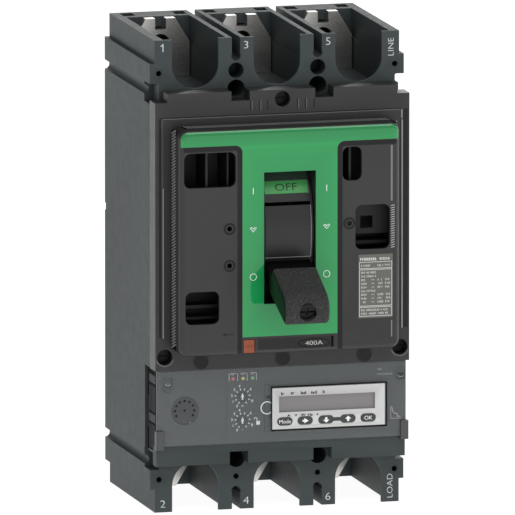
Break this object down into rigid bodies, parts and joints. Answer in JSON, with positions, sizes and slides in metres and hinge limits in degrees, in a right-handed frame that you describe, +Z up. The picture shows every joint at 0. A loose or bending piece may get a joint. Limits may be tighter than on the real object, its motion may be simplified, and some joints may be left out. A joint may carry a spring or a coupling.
{
  "type": "moulded case circuit breaker",
  "caption": "Moulded case circuit breaker with a tilting handle, trip button, open terminal bays at both ends and an electronic trip unit under a clear hinged cover.",
  "frame": {"origin": "middle of the rear mounting face", "axes": "+X right seen from the front, +Y into the panel (rear), +Z up; the front faces -Y"},
  "size_m": [0.14, 0.1598, 0.255],
  "materials": {
    "case_plastic": "fine moulded texture",
    "cover_plastic": "fine moulded texture",
    "deck_plastic": "satin",
    "escutcheon_green": "satin",
    "terminal_metal": "tin plated, satin",
    "cassette_plastic": "satin",
    "rotor_plastic": "satin",
    "contact_copper": "satin copper",
    "splitter_steel": "zinc plated",
    "coil_black": "potted",
    "frame_steel": "zinc plated",
    "pin_steel": "ground",
    "screw_steel": "blackened",
    "handle_plastic": "grained",
    "drum_plastic": "satin",
    "off_green": "satin",
    "on_red": "satin",
    "unit_plastic": "fine moulded texture",
    "bezel_light": "satin",
    "lcd": "glossy",
    "board_green": "solder mask",
    "solenoid_steel": "zinc plated",
    "port_black": "satin",
    "lamp_red": "diffused",
    "lamp_yellow": "diffused",
    "lamp_green": "diffused",
    "label_grey": "printed",
    "button_orange": "satin",
    "key_grey": "satin",
    "dial_grey": "satin",
    "lid_clear": "clear, lightly tinted",
    "trip_bar_plastic": "satin",
    "spring_steel": "drawn wire"
  },
  "bodies": {
    "case": {"rear_base": "case_plastic", "main_case": "case_plastic", "front_cover": "cover_plastic", "green_escutcheon": "escutcheon_green", "accessory_deck": "deck_plastic", "accessory_frames": "deck_plastic", "cover_screws": "screw_steel", "label_plate": "label_grey", "rating_plate": "label_grey", "arc_chutes_line": "splitter_steel", "arc_chutes_load": "splitter_steel", "mechanism_frames": "frame_steel", "toggle_pin": "pin_steel", "trip_unit_housing": "unit_plastic", "trip_unit_fascia": "unit_plastic", "display_bezel": "bezel_light", "lcd_screen": "lcd", "trip_unit_pcb": "board_green", "trip_actuator": "solenoid_steel", "test_port": "port_black", "led_red": "lamp_red", "led_yellow": "lamp_yellow", "led_green": "lamp_green", "trip_bar_spring": "spring_steel", "line_terminal_1": "terminal_metal", "load_terminal_1": "terminal_metal", "pole_cassette_1": "cassette_plastic", "current_transformer_1": "coil_black", "line_terminal_2": "terminal_metal", "load_terminal_2": "terminal_metal", "pole_cassette_2": "cassette_plastic", "current_transformer_2": "coil_black", "line_terminal_3": "terminal_metal", "load_terminal_3": "terminal_metal", "pole_cassette_3": "cassette_plastic", "current_transformer_3": "coil_black"},
    "toggle": {"toggle_handle": "handle_plastic", "toggle_drum": "drum_plastic", "handle_screw": "screw_steel", "off_flag": "off_green", "on_flag": "on_red"},
    "contact_shaft": {"rotor_1": "rotor_plastic", "rotor_2": "rotor_plastic", "rotor_3": "rotor_plastic", "contact_arm_1": "contact_copper", "contact_arm_2": "contact_copper", "contact_arm_3": "contact_copper"},
    "trip_button": {"trip_button": "button_orange"},
    "trip_bar": {"trip_bar": "trip_bar_plastic"},
    "key_mode": {"key_mode": "key_grey"},
    "key_right": {"key_right": "key_grey"},
    "key_ok": {"key_ok": "key_grey"},
    "key_rocker": {"key_rocker": "key_grey"},
    "dial_current": {"dial_current": "dial_grey"},
    "dial_delay": {"dial_delay": "dial_grey"},
    "trip_cover": {"trip_cover": "lid_clear"}
  },
  "joints": [
    {"name": "toggle_tilt", "type": "hinge", "parent": "case", "child": "toggle", "pos_m": [0, -0.067, 0.025], "axis": [-1, 0, 0], "range_deg": [-5, 44]},
    {"name": "contact_turn", "type": "hinge", "parent": "case", "child": "contact_shaft", "pos_m": [0, -0.0435, 0], "axis": [-1, 0, 0], "range_deg": [-4, 32.2]},
    {"name": "trip_button_press", "type": "slide", "parent": "case", "child": "trip_button", "axis": [0, 1, 0], "range_m": [0, 0.0025], "stiffness_N_per_m": 300, "springref_m": -0.002},
    {"name": "trip_bar_turn", "type": "hinge", "parent": "case", "child": "trip_bar", "pos_m": [0, -0.087, -0.0454], "axis": [-1, 0, 0], "range_deg": [0, 16.1]},
    {"name": "key_mode_press", "type": "slide", "parent": "case", "child": "key_mode", "axis": [0, 1, 0], "range_m": [0, 0.0005], "stiffness_N_per_m": 400, "springref_m": -0.001},
    {"name": "key_right_press", "type": "slide", "parent": "case", "child": "key_right", "axis": [0, 1, 0], "range_m": [0, 0.0005], "stiffness_N_per_m": 400, "springref_m": -0.001},
    {"name": "key_ok_press", "type": "slide", "parent": "case", "child": "key_ok", "axis": [0, 1, 0], "range_m": [0, 0.0005], "stiffness_N_per_m": 400, "springref_m": -0.001},
    {"name": "key_rocker_tilt", "type": "hinge", "parent": "case", "child": "key_rocker", "pos_m": [0.03015, -0.1046, -0.0792], "axis": [0, 0, 1], "range_deg": [-2.5, 2.5], "stiffness_Nm_per_rad": 0.02},
    {"name": "dial_current_turn", "type": "hinge", "parent": "case", "child": "dial_current", "pos_m": [-0.0215, -0.105, -0.0649], "axis": [0, -1, 0], "range_deg": [-120, 120]},
    {"name": "dial_delay_turn", "type": "hinge", "parent": "case", "child": "dial_delay", "pos_m": [-0.0215, -0.105, -0.0779], "axis": [0, -1, 0], "range_deg": [-120, 120]},
    {"name": "trip_cover_open", "type": "hinge", "parent": "case", "child": "trip_cover", "pos_m": [0, -0.1062, -0.0892], "axis": [1, 0, 0], "range_deg": [0, 100]}
  ],
  "couplings": [
    {"joint": "contact_turn", "follows": "toggle_tilt", "ratio": 0.72727},
    {"joint": "trip_bar_turn", "follows": "trip_button_press", "rad_per_m": 111.7}
  ]
}
